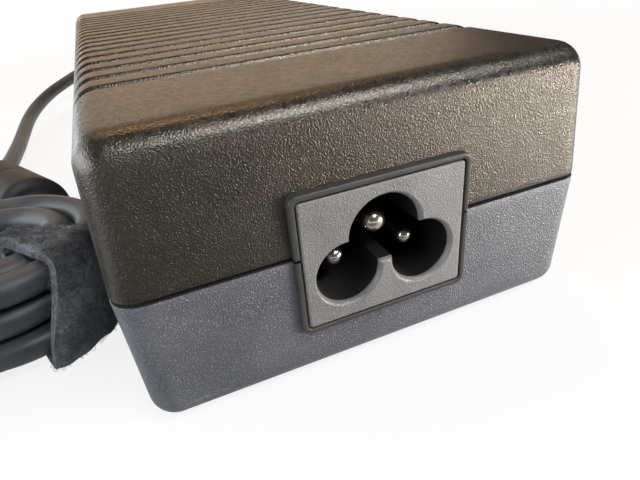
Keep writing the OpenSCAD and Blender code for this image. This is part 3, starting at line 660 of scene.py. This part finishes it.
def shellMesh(name, upper):
    # one shell: a rounded end, the run with its grooves, the other end, then the two flat end walls
    hx, hy, r = housing["width"] / 2, housing["length"] / 2, housing["edge"]
    seam, lip, deep, gland = housing["seam"], housing["lip"], housing["gapDeep"], housing["gland"]
    height = housing["upper"] if upper else seam
    lean = housing["upperLean"] if upper else housing["lowerLean"]
    sign = 1 if upper else -1
    # wall points: height from the seam, and radius from the inner box
    if upper:
        start = housing["gap"]
        wall = [(start, r - 1.9), (start, r - deep)]
    else:
        start = 0.0
        wall = [(-0.9, r - 1.9), (-0.9, r - deep - 0.08), (start, r - deep - 0.04)]
    wall += [(start, r - lip), (start + lip * 0.3, r - lip * 0.3), (start + lip, r)]
    plateHalf = inlet["plateH"] / 2 + inlet["wallGap"]
    plateWide = inlet["plateW"] / 2 + inlet["wallGap"]
    cut = inlet["plateZ"] + plateHalf - seam if upper else seam - inlet["plateZ"] + plateHalf
    drop = height - housing["grooveDrop"]
    rows = [1.2, gland, 5.0, cut]
    rows += [drop - 0.4, drop, drop + 0.3, drop + 0.7, drop + 1.2, 11.5, 12.8] if upper else [11.5, 13.2]
    wall += [(z, r) for z in sorted(rows) if z < height - r - 0.3]
    wall.append((height - r, r))
    xs = {-hx + r, hx - r, -plateWide, plateWide, -gland, gland, *[k * 2.2 for k in range(-12, 13)]}
    xs = sorted(x for x in xs if abs(x) <= hx - r + 1e-6)
    steps = housing["cornerSteps"]
    arc = [math.radians(90 * k / steps) for k in range(1, steps)]
    # profile points: place on the inner box, direction outwards and radius
    profile = [(-(hx - r), z, -1.0, 0.0, rad) for z, rad in wall]
    profile += [(-(hx - r), height - r, -math.cos(a), math.sin(a), r) for a in arc]
    profile += [(x, height - r, 0.0, 1.0, r) for x in xs]
    profile += [((hx - r), height - r, math.cos(a), math.sin(a), r) for a in reversed(arc)]
    profile += [((hx - r), z, 1.0, 0.0, rad) for z, rad in reversed(wall)]

    def leaned(x, y, z):
        # the draft of the mould
        t = max(0.0, min(1.0, z / height)) * lean
        return (x * (hx - t) / hx, housing["midY"] + y * (hy - t) / hy, seam + sign * z)

    def sunk(y, z, up):
        # how far the skin lies under the plain wall: a groove, and the ribs' shoulders that fall towards it
        place = y + housing["midY"]
        reach = 1.0 if up > 0.01 else ease((z - drop) / 0.9)
        deepHere = grooveDepth(place) * housing["grooveDeep"] * reach
        i = (place - housing["firstGroove"]) / housing["pitch"]
        if (up > 0.01 or z > drop) and -0.5 < i < housing["grooves"] - 0.5:
            deepHere += max(0, housing["crown"] * math.cos(2 * math.pi * i))
        return deepHere

    def cornerRing(side, phi):
        ring = []
        for qx, qz, nx, nz, rad in profile:
            out = rad * math.cos(phi)
            ring.append(leaned(qx + out * nx, side * (hy - r + rad * math.sin(phi)), qz + out * nz))
        return ring

    rings = [cornerRing(-1, math.radians(90 * k / steps)) for k in range(steps, -1, -1)]
    for y in stations(hy, r)[1:-1]:
        ring = []
        for qx, qz, nx, nz, rad in profile:
            reach = rad - sunk(y, qz, nz) if upper and rad == r else rad
            ring.append(leaned(qx + reach * nx, y, qz + reach * nz))
        rings.append(ring)
    rings += [cornerRing(1, math.radians(90 * k / steps)) for k in range(steps + 1)]
    bm = bmesh.new()
    addRings(bm, rings, closed=False)
    # flat end walls, open behind the plate and the relief
    for side, holeX, holeZ in ((-1, plateWide, cut), (1, gland, gland)):
        grid = []
        for z, rad in wall:
            y = side * (hy - r + rad)
            grid.append([bm.verts.new(Vector(leaned(x, y, z)) * mm) for x in xs])
        for i in range(len(wall) - 1):
            for j in range(len(xs) - 1):
                midX, midZ = (xs[j] + xs[j + 1]) / 2, (wall[i][0] + wall[i + 1][0]) / 2
                if abs(midX) >= holeX - 0.01 or midZ >= holeZ - 0.01:
                    bm.faces.new((grid[i][j], grid[i][j + 1], grid[i + 1][j + 1], grid[i + 1][j]))
    return finishMesh(name, bm, 40)


def plateRing(out, back, corner, steps):
    # a ring out from the plate's outline and back from its face
    loop = roundedLoop(inlet["plateW"] + 2 * out, inlet["plateH"] + 2 * out, corner, steps)
    return [(x, inlet["faceY"] + back, z + inlet["plateZ"]) for x, z in loop]


def rimMesh(name, upper):
    # the raised edge round the plate, half on each shell: steps outwards and back from the face
    g, rim = inlet["gap"], inlet["rim"]
    section = [
        (g, 3.4), (g, 0.14), (g + 0.04, 0.04), (g + 0.12, 0.0), (g + rim - 0.2, 0.0), (g + rim - 0.09, 0.04),
        (g + rim - 0.02, 0.13), (g + rim, 0.25), (g + rim, 2.3),
    ]
    bm = bmesh.new()
    addRings(bm, [plateRing(out, back, 0.45 + out * 0.75, 7) for out, back in section])
    seam = (housing["seam"] + (0.32 if upper else -0.02)) * mm
    everything = list(bm.verts) + list(bm.edges) + list(bm.faces)
    bmesh.ops.bisect_plane(
        bm, geom=everything, plane_co=(0, 0, seam), plane_no=(0, 0, 1),
        clear_inner=upper, clear_outer=not upper,
    )
    return finishMesh(name, bm, 60)


show("upperShellSkin", shellMesh("upperShellSkin", True), upperPlastic, ["upper_shell"])
show("lowerShellSkin", shellMesh("lowerShellSkin", False), lowerPlastic, ["lower_shell"])
show("rimUpper", rimMesh("rimUpper", True), rimPlastic, ["upper_shell"])
show("rimLower", rimMesh("rimLower", False), rimPlastic, ["lower_shell"])
print("housing made")


def cloverLoop(extra):
    # outline of the three joined lobes, grown by extra: right lobe, left lobe, then the earth lobe's top
    steps = 20
    r, earth = inlet["lobe"] + extra, inlet["earthLobe"] + extra
    px, pz, ez = inlet["pinX"], inlet["pinZ"], inlet["earthZ"]
    floor = inlet["floorZ"] - extra
    # where the right lobe meets the earth lobe, on the outside
    dx, dz = px, pz - ez
    d = math.hypot(dx, dz)
    along = (earth * earth - r * r + d * d) / (2 * d)
    off = math.sqrt(max(earth * earth - along * along, 0))
    midX, midZ = along * dx / d, ez + along * dz / d
    meets = [(midX + side * off * dz / d, midZ - side * off * dx / d) for side in (-1, 1)]
    outX, outZ = max(meets, key=lambda p: p[0])
    tipX = px - math.sqrt(max(r * r - (floor - pz) ** 2, 0))
    first = math.atan2(outZ - pz, outX - px)
    last = math.atan2(floor - pz, tipX - px)
    if last > first:
        last -= 2 * math.pi
    turns = [first + (last - first) * k / (2 * steps) for k in range(2 * steps + 1)]
    right = [(px + r * math.cos(t), pz + r * math.sin(t)) for t in turns]
    left = [(-x, z) for x, z in reversed(right)]
    first = math.atan2(outZ - ez, -outX) % (2 * math.pi)
    last = math.atan2(outZ - ez, outX)
    turns = [first + (last - first) * k / steps for k in range(1, steps)]
    return right + left + [(earth * math.cos(t), ez + earth * math.sin(t)) for t in turns]


def cloverRings(section):
    # rings of the recess: how far each is grown, and how far back it lies
    return [[(x, inlet["faceY"] + back, z) for x, z in cloverLoop(extra)] for extra, back in section]


def inletMesh():
    # the plate with its rounded rim and the rounded mouth of the recess
    bm = bmesh.new()
    outside = ((0.0, 2.6), (0.0, 0.22), (-0.06, 0.08), (-0.2, 0.0), (-0.32, 0.0))
    outerRows = addRings(bm, [plateRing(out, back, 0.4, 4) for out, back in outside])
    mouth = inlet["mouth"]
    innerRows = addRings(bm, cloverRings([
        (mouth + 0.1, 0.0), (mouth, 0.0), (mouth * 0.82, 0.03), (mouth * 0.55, 0.14), (mouth * 0.2, 0.34),
        (0.0, 0.62), (0.0, inlet["mouthDeep"]),
    ]))
    joinRows(bm, outerRows[-1], innerRows[0])
    return finishMesh("inletPlate", bm, 50)


def recessMesh():
    # the recess, and the block behind the plate
    deep = inlet["deep"]
    bm = bmesh.new()
    recess = [(0.0, inlet["mouthDeep"]), (0.0, 6.0), (-0.03, deep - 0.3), (-0.2, deep)]
    addRings(bm, cloverRings(recess), capEnd=True)
    addRings(bm, [plateRing(-0.8, back, 0.6, 3) for back in (2.6, 18.0)], capEnd=True)
    return finishMesh("inletBlock", bm, 50)


show("inletPlate", inletMesh(), platePlastic, ["inlet_body"])
show("inletBlock", recessMesh(), recessPaintedShade, ["inlet_body"])

# the three turned pins
pins = {
    "live": 2.3,
    "liveBack": 3.6,  # from the plate's face to the tip
    "earth": 3.0,
    "earthBack": 2.1,
    "rootStep": 0.2,
    "rootEnd": 20.3,
}


def pinPiece(name, node, x, z, d, tip):
    # a domed tip, the shaft and its thinner root in the block
    r = d / 2
    angles = [math.radians(10 * k) for k in range(10)]
    dome = [(tip + r * 0.92 * (1 - math.cos(a)), r * math.sin(a)) for a in angles]
    root, thin = inlet["deep"] - 0.5, r - pins["rootStep"]
    profile = dome + [(tip + r * 1.6, r), (root - 0.2, r), (root, thin), (pins["rootEnd"], thin)]
    bm = bmesh.new()
    addRings(bm, lathe(profile, 40, (x, inlet["faceY"], z), (0, 1, 0)), True, True, True)
    show(name, finishMesh(name, bm, 50), nickel, [node])


pinPiece("linePin", "line_pin", -inlet["pinX"], inlet["pinZ"], pins["live"], pins["liveBack"])
pinPiece("neutralPin", "neutral_pin", inlet["pinX"], inlet["pinZ"], pins["live"], pins["liveBack"])
pinPiece("earthPin", "earth_pin", 0.0, inlet["earthZ"], pins["earth"], pins["earthBack"])
print("inlet made")

# the strain relief in the back wall
relief = {
    "start": 68.9,
    "wall": 74.3,
    "length": 30.0,
    "collar": 4.8,
    "neck": 4.0,
    "thick": 9.6,
    "thin": 6.0,
    "slots": 6,
    "firstSlot": 5.7,
    "slotPitch": 4.0,
    "slotWide": 1.6,
}


def reliefPiece():
    # collar inside, neck through the wall and a tapered sleeve with flex slots
    y0 = relief["wall"] + 0.3
    long = relief["length"] - 0.3
    inside = relief["start"] + 0.1 - y0
    back = relief["start"] + 2.7 - y0
    thick, thin = relief["thick"] / 2, relief["thin"] / 2
    profile = [(inside, 2.4), (inside, relief["collar"]), (back, relief["collar"]), (back, relief["neck"])]
    profile += [(0.0, relief["neck"]), (0.0, thick)]
    for k in range(relief["slots"]):
        a = relief["firstSlot"] + relief["slotPitch"] * k
        low = 3.3 - 0.125 * k
        first, last = a, a + relief["slotWide"] + 0.05
        profile.append((first, thick + (thin - thick) * first / long))
        profile += [(a + 0.05, low), (a + relief["slotWide"], low)]
        profile.append((last, thick + (thin - thick) * last / long))
    profile += [(long, thin), (long, 2.05)]
    at, axis = (0, y0, housing["seam"]), (0, 1, 0)
    return turned("reliefSleeve", profile, moulded, ["cord_relief"], at, axis, 0.28, 40)


reliefSleeve = reliefPiece()

# the two-part cover on the ferrite, along the lead
ferrite = {
    "cone": 5.0,
    "radius": 7.2,
    "shoulder": 5.9,
    "split": 10.8,
    "splitDeep": 0.08,
}


def ferritePiece():
    c, r, shoulder = ferrite["cone"], ferrite["radius"], ferrite["shoulder"]
    near, long = lead["ferriteNear"], lead["ferriteFar"] - lead["ferriteNear"]
    split, low = c + ferrite["split"], r - ferrite["splitDeep"]
    profile = [(0, 2.1), (0, 3.2), (c - 0.2, 4.4), (c, shoulder), (c + 0.9, r - 0.15), (c + 1.5, r)]
    profile += [(split, r), (split + 0.15, low), (split + 0.25, low), (split + 0.4, r)]
    profile += [(long - c - 1.5, r), (long - c - 0.9, r - 0.15), (long - c, shoulder)]
    profile += [(long - c + 0.2, 4.4), (long, 3.2), (long, 2.1)]
    a, b = [alongLine(near + d, lead["ferriteZ"]) for d in (0, 1)]
    piece = turned("ferriteCover", profile, moulded, ["ferrite_cover"], a, b - a, 0.6, 56)
    for vertex in piece.data.vertices:
        vertex.co.z = max(vertex.co.z, 0.01 * mm)
    return piece


ferriteCover = ferritePiece()

# the hook-and-loop strap round one end of the hank; angles in degrees
strap = {
    "from": -70.0,
    "to": -25.0,
    "slant": 17.0,
    "thick": 1.5,
    "gap": 0.3,
    "insideTurn": 2.56,
    "outsideTurn": 0.56,
    "steps": 30,
    "fibres": 5200,
    "fibreThick": 0.028 * mm,
    "cleared": 1.2 * mm,  # no fibres below this height
}


def denser(loop, spacing):
    # the same outline with more points
    points = []
    for i, (x, z) in enumerate(loop):
        nextX, nextZ = loop[(i + 1) % len(loop)]
        n = max(1, round(math.hypot(nextX - x, nextZ - z) / spacing))
        points += [(x + (nextX - x) * k / n, z + (nextZ - z) * k / n) for k in range(n)]
    return points


def strapBandMesh():
    # the band, with a wavy outside and edges that pull in
    innerR = spiralRadius(strap["insideTurn"]) - lead["radius"] - strap["gap"]
    outerR = spiralRadius(strap["outsideTurn"]) + lead["radius"] + strap["gap"]
    lowest = lead["radius"] + lead["floorGap"] + lead["strapLift"]
    top = lowest + (lead["layers"] - 1) * lead["step"] + lead["radius"] + strap["gap"]
    t, steps = strap["thick"], strap["steps"]
    midR, midZ = (innerR + outerR) / 2, (t + top) / 2
    outside = denser(roundedLoop(outerR - innerR + 2 * t, top + t, 2.6, 10), 0.7)
    inside = denser(roundedLoop(outerR - innerR, top - t, 1.1, 10), 0.7)
    bm = bmesh.new()

    def sweep(loop, wavy):
        rings = []
        for k in range(steps + 1):
            ring = []
            edge = 1.0 - min(1.0, min(k, steps - k) / 2.5)
            for i, (x, z) in enumerate(loop):
                waves = 0.12 * math.sin(i * 0.55 + k * 0.4) + 0.1 * math.sin(i * 0.21 - k * 0.7)
                shrink = 1 + wavy * (waves - edge * 0.22) / 12
                px, pz = x * shrink + midR, max(0.02, z * shrink + midZ)
                first = strap["from"] + strap["slant"] * ease(pz / 18)
                a = math.radians(first + (strap["to"] - first) * k / steps)
                ring.append((lead["foldX"] + px * math.cos(a), lead["hankY"] + px * math.sin(a), pz))
            rings.append(ring)
        return addRings(bm, rings)

    outRows = sweep(outside, 1.0)
    inRows = sweep(inside, 0.0)
    joinRows(bm, outRows[0], inRows[0])
    joinRows(bm, outRows[-1], inRows[-1])
    return finishMesh("strapBand", bm, 60)


def strapNapMesh(band):
    # loops of fibre that stand off the cloth
    rng = random.Random(5)
    thin = strap["fibreThick"]
    nap = bmesh.new()
    faces = [face for face in band.polygons if face.area > 1e-8]
    for _ in range(strap["fibres"]):
        face = faces[rng.randrange(len(faces))]
        c, n = face.center, face.normal
        if c.z < strap["cleared"]:
            continue
        side = n.cross(Vector((rng.uniform(-1, 1), rng.uniform(-1, 1), rng.uniform(-1, 1)))).normalized()
        across = n.cross(side).normalized()
        size = rng.uniform(0.25, 0.75) * mm
        spread = rng.uniform(0.1, 0.5) * mm
        at = c + side * rng.uniform(-0.4, 0.4) * mm + across * rng.uniform(-0.4, 0.4) * mm
        rows = []
        for a in (math.pi * j / 5 for j in range(6)):
            q = at + side * spread * math.cos(a) + n * (size * math.sin(a) - 0.1 * mm)
            q = q + across * spread * 0.6 * math.sin(2 * a)
            q.z = max(q.z, 0.1 * mm)
            low = q - across * thin * 0.5
            corners = (q + across * thin, low + n * thin, low - n * thin)
            rows.append([nap.verts.new(corner) for corner in corners])
        for a, b in zip(rows, rows[1:]):
            for j in range(3):
                nap.faces.new((a[j], a[(j + 1) % 3], b[(j + 1) % 3], b[j]))
    mesh = bpy.data.meshes.new("strapNap")
    nap.to_mesh(mesh)
    nap.free()
    return mesh


strapBand = show("strapBand", strapBandMesh(), napped, ["cord_strap"])
strapNap = show("strapNap", strapNapMesh(strapBand.data), napped, ["cord_strap"])

# the barrel plug; places along its axis
plug = {
    "turn": 22.0,
    "relief": 14.0,
    "reliefSlots": 3,
    "body": 24.0,
    "thick": 5.35,
    "rings": 5,
    "ringDeep": 0.35,
    "barrel": 2.75,
    "barrelLong": 10,
}


def sleeveProfile():
    # tapered, with flex slots
    profile = [(0, 2.05), (0, 2.8)]
    for k in range(plug["reliefSlots"]):
        d, low = 3 + 3.6 * k, 2.5 + 0.25 * k
        profile += [(d, 2.8 + 0.1 * d), (d + 0.05, low), (d + 1.35, low), (d + 1.4, 2.8 + 0.1 * (d + 1.4))]
    return profile + [(plug["relief"], 4.2), (plug["relief"], 2.0)]


def gripProfile():
    # a moulded grip with rings to hold it by
    r = plug["thick"]
    low = r - plug["ringDeep"]
    profile = [(0, 3.0), (0, 4.3), (1.2, 5.1), (2.0, r)]
    for k in range(plug["rings"]):
        d = 6 + 3 * k
        profile += [(d, r), (d + 0.1, low), (d + 1.3, low), (d + 1.4, r)]
    return profile + [(22.6, r), (plug["body"], 4.9), (plug["body"], 2.97)]


def barrelProfile():
    # nickel-plated tube with a collar at its root
    r, long = plug["barrel"], plug["barrelLong"]
    collar = [(-5, 2.95), (0.3, 2.95), (0.4, 2.85), (0.42, r)]
    return collar + [(long - 0.3, r), (long, 2.62), (long, 2.36), (-5.8, 2.36)]


def coreProfile():
    # black insulator inside the barrel
    return [(-5.5, 1.0), (-5.5, 2.34), (9.4, 2.34), (9.6, 2.2), (9.6, 1.6), (9.4, 1.56), (8.6, 1.56)]


def springProfile():
    # the centre contact in the insulator's bore
    return [(8.8, 1.54), (8.8, 1.3), (8.5, 1.26), (-1.8, 1.26), (-2.0, 0.01)]


def plugPieces():
    a = math.radians(plug["turn"])
    axis = Vector((math.sin(a), math.cos(a), 0))
    at = Vector(lead["plugAt"])
    grip = at + axis * plug["relief"]
    nose = at + axis * (plug["relief"] + plug["body"])
    rubber, noCaps = "moulded_rubber", (False, False)
    return [
        turned("plugSleeve", sleeveProfile(), moulded, ["plug_relief"], at, axis, 0.25, 40),
        turned("plugGrip", gripProfile(), moulded, ["plug_body"], grip, axis, 0.3, 48),
        turned(
            "plugBarrel", barrelProfile(), nickel, ["plug_barrel"],
            nose, axis, 0.1, 48, noCaps,
        ),
        turned(
            "plugCore", coreProfile(), moulded, ["plug_insulator"],
            nose, axis, 0.1, 40, (True, False),
        ),
        turned(
            "plugSpring", springProfile(), springBrass, ["plug_contact"],
            nose, axis, 0.05, 40, noCaps,
        ),
    ]


plugParts = plugPieces()
cord.data.materials.append(jacket)
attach(cord, "root")
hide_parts("dc_lead", "cord_hank", "dc_tail")
print("lead made")

# what the sealed housing holds: dark colour, pale colour and gloss for each material slot
insideLook = {
    "board_green": ((0.03, 0.12, 0.04), (0.06, 0.20, 0.07), 0.42),
    "shield_steel": ((0.45, 0.45, 0.46), (0.58, 0.58, 0.59), 0.35),
    "insulating_card": ((0.62, 0.56, 0.40), (0.74, 0.68, 0.50), 0.7),
    "sink_aluminium": ((0.52, 0.53, 0.54), (0.66, 0.67, 0.68), 0.38),
    "ferrite_dark": ((0.04, 0.04, 0.045), (0.08, 0.08, 0.085), 0.75),
    "copper_wire": ((0.50, 0.20, 0.08), (0.70, 0.34, 0.16), 0.3),
    "winding_tape": ((0.66, 0.50, 0.08), (0.80, 0.64, 0.16), 0.4),
    "package_black": ((0.012, 0.012, 0.014), (0.026, 0.026, 0.028), 0.5),
    "sleeve_blue": ((0.014, 0.03, 0.09), (0.03, 0.05, 0.15), 0.25),
    "sleeve_green": ((0.014, 0.05, 0.02), (0.03, 0.09, 0.04), 0.25),
    "film_yellow": ((0.62, 0.42, 0.04), (0.78, 0.56, 0.08), 0.4),
    "ceramic_blue": ((0.04, 0.13, 0.36), (0.07, 0.20, 0.48), 0.3),
    "ceramic_green": ((0.04, 0.07, 0.04), (0.08, 0.11, 0.08), 0.45),
    "fuse_brown": ((0.18, 0.08, 0.04), (0.28, 0.13, 0.07), 0.4),
    "wire_brown": ((0.12, 0.045, 0.02), (0.20, 0.08, 0.04), 0.4),
    "wire_blue": ((0.03, 0.08, 0.30), (0.05, 0.13, 0.42), 0.4),
    "wire_green": ((0.11, 0.26, 0.04), (0.19, 0.38, 0.07), 0.4),
    "wire_red": ((0.30, 0.015, 0.015), (0.42, 0.03, 0.03), 0.4),
    "steel_screw": ((0.50, 0.50, 0.48), (0.66, 0.66, 0.63), 0.3),
}
insideMetals = ("shield_steel", "sink_aluminium", "copper_wire", "steel_screw")


def insideFinish(name, dark, pale, gloss):
    f = Finish("inside_" + name, Metallic=1.0 if name in insideMetals else 0.0)
    slow = f.noise(260.0, 3.0, 0.55)
    fine = f.noise(1800.0, 3.0, 0.6)
    f.put("Base Color", f.blend(slow.above(0.35, 0.65), dark, pale))
    f.put("Roughness", gloss + (fine - 0.5) * 0.18)
    f.put("Normal", f.bump(fine + slow * 0.4, 0.3, 0.03 * mm))
    return f.material


slotOf = {entry["node"]: entry["material_slot"] for entry in frame["record"]["subparts"]}
insideMade = {name: insideFinish(name, *look) for name, look in insideLook.items()}
for node, piece in frame["nodes"].items():
    made = insideMade.get(slotOf[node])
    if made:
        piece.data.materials.clear()
        piece.data.materials.append(made)
print("inner parts finished")

# the floor and the light round it, in metres
studio = {
    "floor": (0.66, 0.67, 0.70),
    "floorHalf": 3.0,
    "floorDrop": 0.0002,
    "seenPaper": (0.95, 0.95, 0.95),
    "floorSeen": 0.84,
    "mirrored": (0.96, 0.96, 0.96),
    # painted shadow of the camera: the darker colour the plastic mirrors, and the place round which it lies
    "mirroredDim": (0.06, 0.06, 0.06),
    "dim": (-0.04, -0.14, 0.0),
    "sky": 0.07,
    "skyColour": (0.93, 0.96, 1.0, 1),
}


def makeFloor():
    half = studio["floorHalf"]
    mesh = bpy.data.meshes.new("floor")
    corners = [(-half, -half, 0), (half, -half, 0), (half, half, 0), (-half, half, 0)]
    mesh.from_pydata(corners, [], [(0, 1, 2, 3)])
    floor = bpy.data.objects.new("floor", mesh)
    floor.location.z = -studio["floorDrop"]
    bpy.context.collection.objects.link(floor)
    f = Finish("floorPaper", Roughness=0.8)
    paper = f.noise(60.0, 2.0, 0.5)
    sheet = f.blend(paper.above(0.3, 0.7), [c * 0.99 for c in studio["floor"]], studio["floor"])
    # far from the housing the camera sees plain white, near it the paper keeps the shadow
    away = f.node("ShaderNodeVectorMath", {"operation": "LENGTH"}, {0: f.place()}, 1).above(0.16, 0.4)
    f.put("Base Color", f.blend(f.node("ShaderNodeLightPath"), sheet, studio["seenPaper"]))
    seen = f.node("ShaderNodeLightPath") * (studio["floorSeen"] + away * (1.0 - studio["floorSeen"]))
    # what the plastic mirrors: white, with a painted shadow of the camera darkening it beside the front's
    # left corner
    fromDim = f.node("ShaderNodeVectorMath", {"operation": "DISTANCE"}, {0: f.place(), 1: studio["dim"]}, 1)
    shaded = fromDim.above(0.03, 0.13)
    mirrored = f.node("ShaderNodeLightPath", output=3)
    tone = f.blend(mirrored, (1.0, 1.0, 1.0), f.blend(shaded, studio["mirroredDim"], studio["mirrored"]))
    glow = f.node("ShaderNodeEmission", None, {"Color": tone, "Strength": 1.0})
    lit = Val(f, f.shader.outputs[0])
    mix = f.node("ShaderNodeMixShader", None, {0: seen + mirrored, 1: lit, 2: glow})
    f.tree.links.new(mix.socket, f.end.inputs["Surface"])
    mesh.materials.append(f.material)


def makeSky():
    world = bpy.data.worlds.new("studio")
    bpy.context.scene.world = world
    world.use_nodes = True
    sky = Wiring(world.node_tree)
    soft = sky.node("ShaderNodeBackground", None, {"Color": studio["skyColour"], "Strength": studio["sky"]})
    seen = sky.node("ShaderNodeBackground", None, {"Color": (1, 1, 1, 1), "Strength": 1.0})
    mix = sky.node("ShaderNodeMixShader", None, {0: sky.node("ShaderNodeLightPath"), 1: soft, 2: seen})
    end = sky.tree.nodes.new("ShaderNodeOutputWorld")
    sky.tree.links.new(mix.socket, end.inputs[0])


# place, what it is aimed at, size, power in watts and colour
lamps = {
    "lowWindow": ((0.24, -0.215, 0.019), (0.012, -0.074, 0.018), (0.15, 0.03), 0.96, (1.0, 0.93, 0.83)),
    "highWindow": ((0.17, -0.34, 0.46), (0.0, -0.05, 0.02), (0.36, 0.09), 2.11, (0.94, 0.97, 1.0)),
    "leftWindow": ((-0.50, 0.22, 0.30), (-0.03, -0.03, 0.02), (0.55, 0.40), 0.99, (0.90, 0.95, 1.0)),
    "nearLeft": ((-0.40, -0.03, 0.13), (-0.031, -0.072, 0.02), (0.34, 0.26), 1.16, (0.84, 0.93, 1.0)),
    "frontLeft": ((-0.50, -0.24, 0.16), (-0.08, -0.03, 0.015), (0.30, 0.20), 0.61, (0.92, 0.96, 1.0)),
    "farWall": ((0.25, 1.2, 0.26), (0.0, 0.0, 0.035), (1.3, 0.42), 2.64, (1.0, 0.74, 0.50)),
    "backLeft": ((-0.75, 0.95, 0.12), (-0.03, 0.0, 0.02), (0.7, 0.32), 2.52, (0.86, 0.94, 1.0)),
    "warmLamp": ((0.04, 0.33, 0.68), (0.0, -0.02, 0.02), (0.46, 0.15), 1.80, (1.0, 0.62, 0.32)),
}


def makeLamp(name, at, aim, size, power, colour):
    data = bpy.data.lights.new(name, "AREA")
    data.shape = "RECTANGLE"
    data.size, data.size_y = size
    data.energy = power
    data.color = colour
    piece = bpy.data.objects.new(name, data)
    piece.location = at
    piece.visible_camera = False
    piece.rotation_euler = (Vector(aim) - Vector(at)).to_track_quat("-Z", "Y").to_euler()
    bpy.context.collection.objects.link(piece)


makeFloor()
makeSky()
for name, look in lamps.items():
    makeLamp(name, *look)
print("lamps lit:", len(lamps))
bpy.context.scene.view_settings.view_transform = "Standard"
